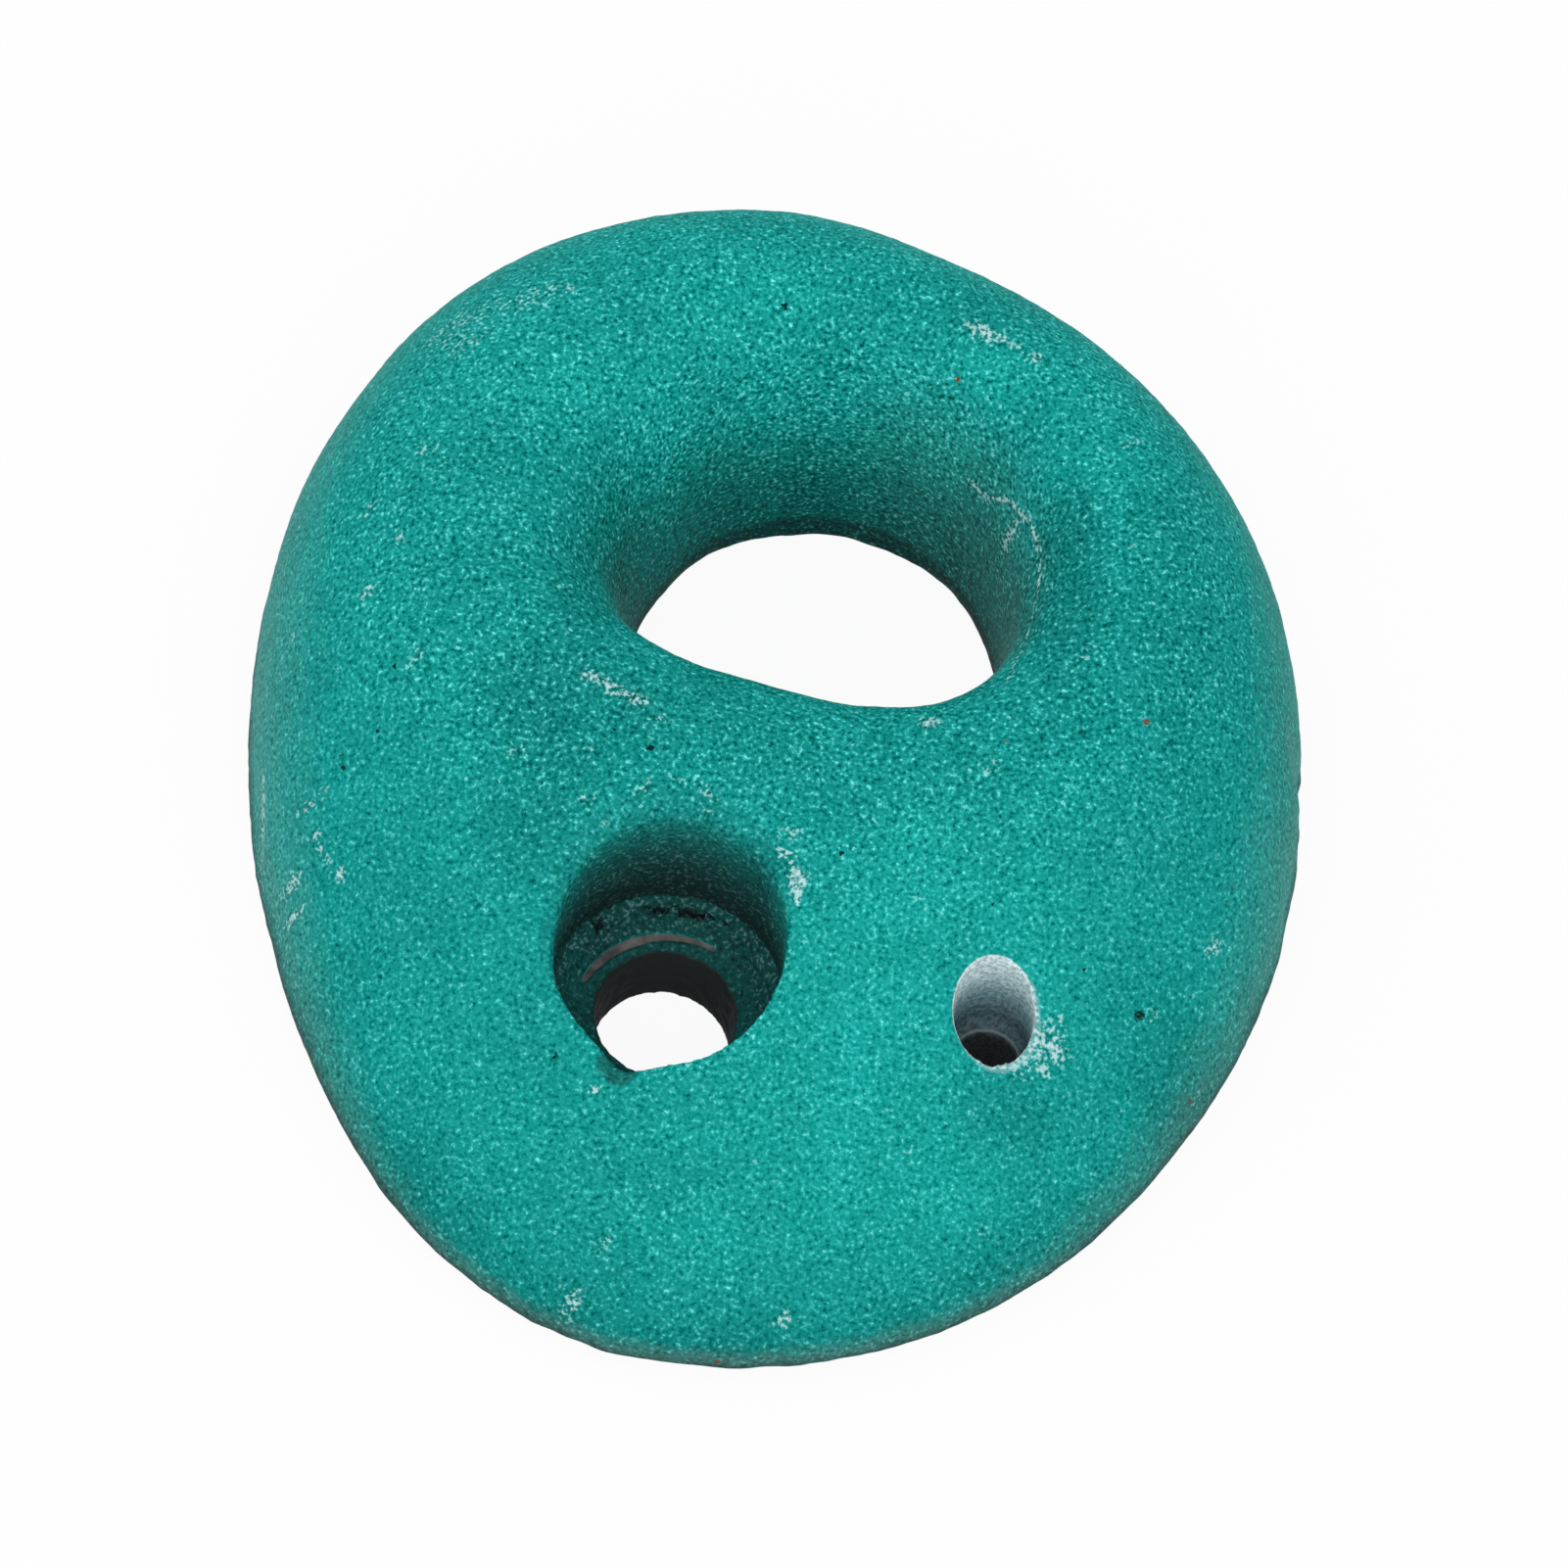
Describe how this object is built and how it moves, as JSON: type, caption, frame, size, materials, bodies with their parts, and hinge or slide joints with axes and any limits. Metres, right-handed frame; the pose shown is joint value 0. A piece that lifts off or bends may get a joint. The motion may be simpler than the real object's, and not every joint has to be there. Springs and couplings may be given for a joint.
{
  "type": "climbing hold",
  "caption": "Rounded ring-shaped climbing hold of sand-filled resin with a finger opening, a stepped bolt bore over a cast-in steel washer and a set-screw hole.",
  "frame": {"origin": "on the bolt bore's axis, in the plane of the flat back that meets the wall", "axes": "+Z out of the wall along the bolt bore, +Y up the wall towards the finger opening, +X to the right"},
  "size_m": [0.0935, 0.109, 0.03],
  "materials": {
    "resin": "matt sand-grained cast resin, teal right through, chalky scuffs",
    "washer_steel": "dull brown-grey worn steel"
  },
  "bodies": {
    "root": {"hold_body": "resin", "bolt_washer": "washer_steel"}
  },
  "joints": []
}
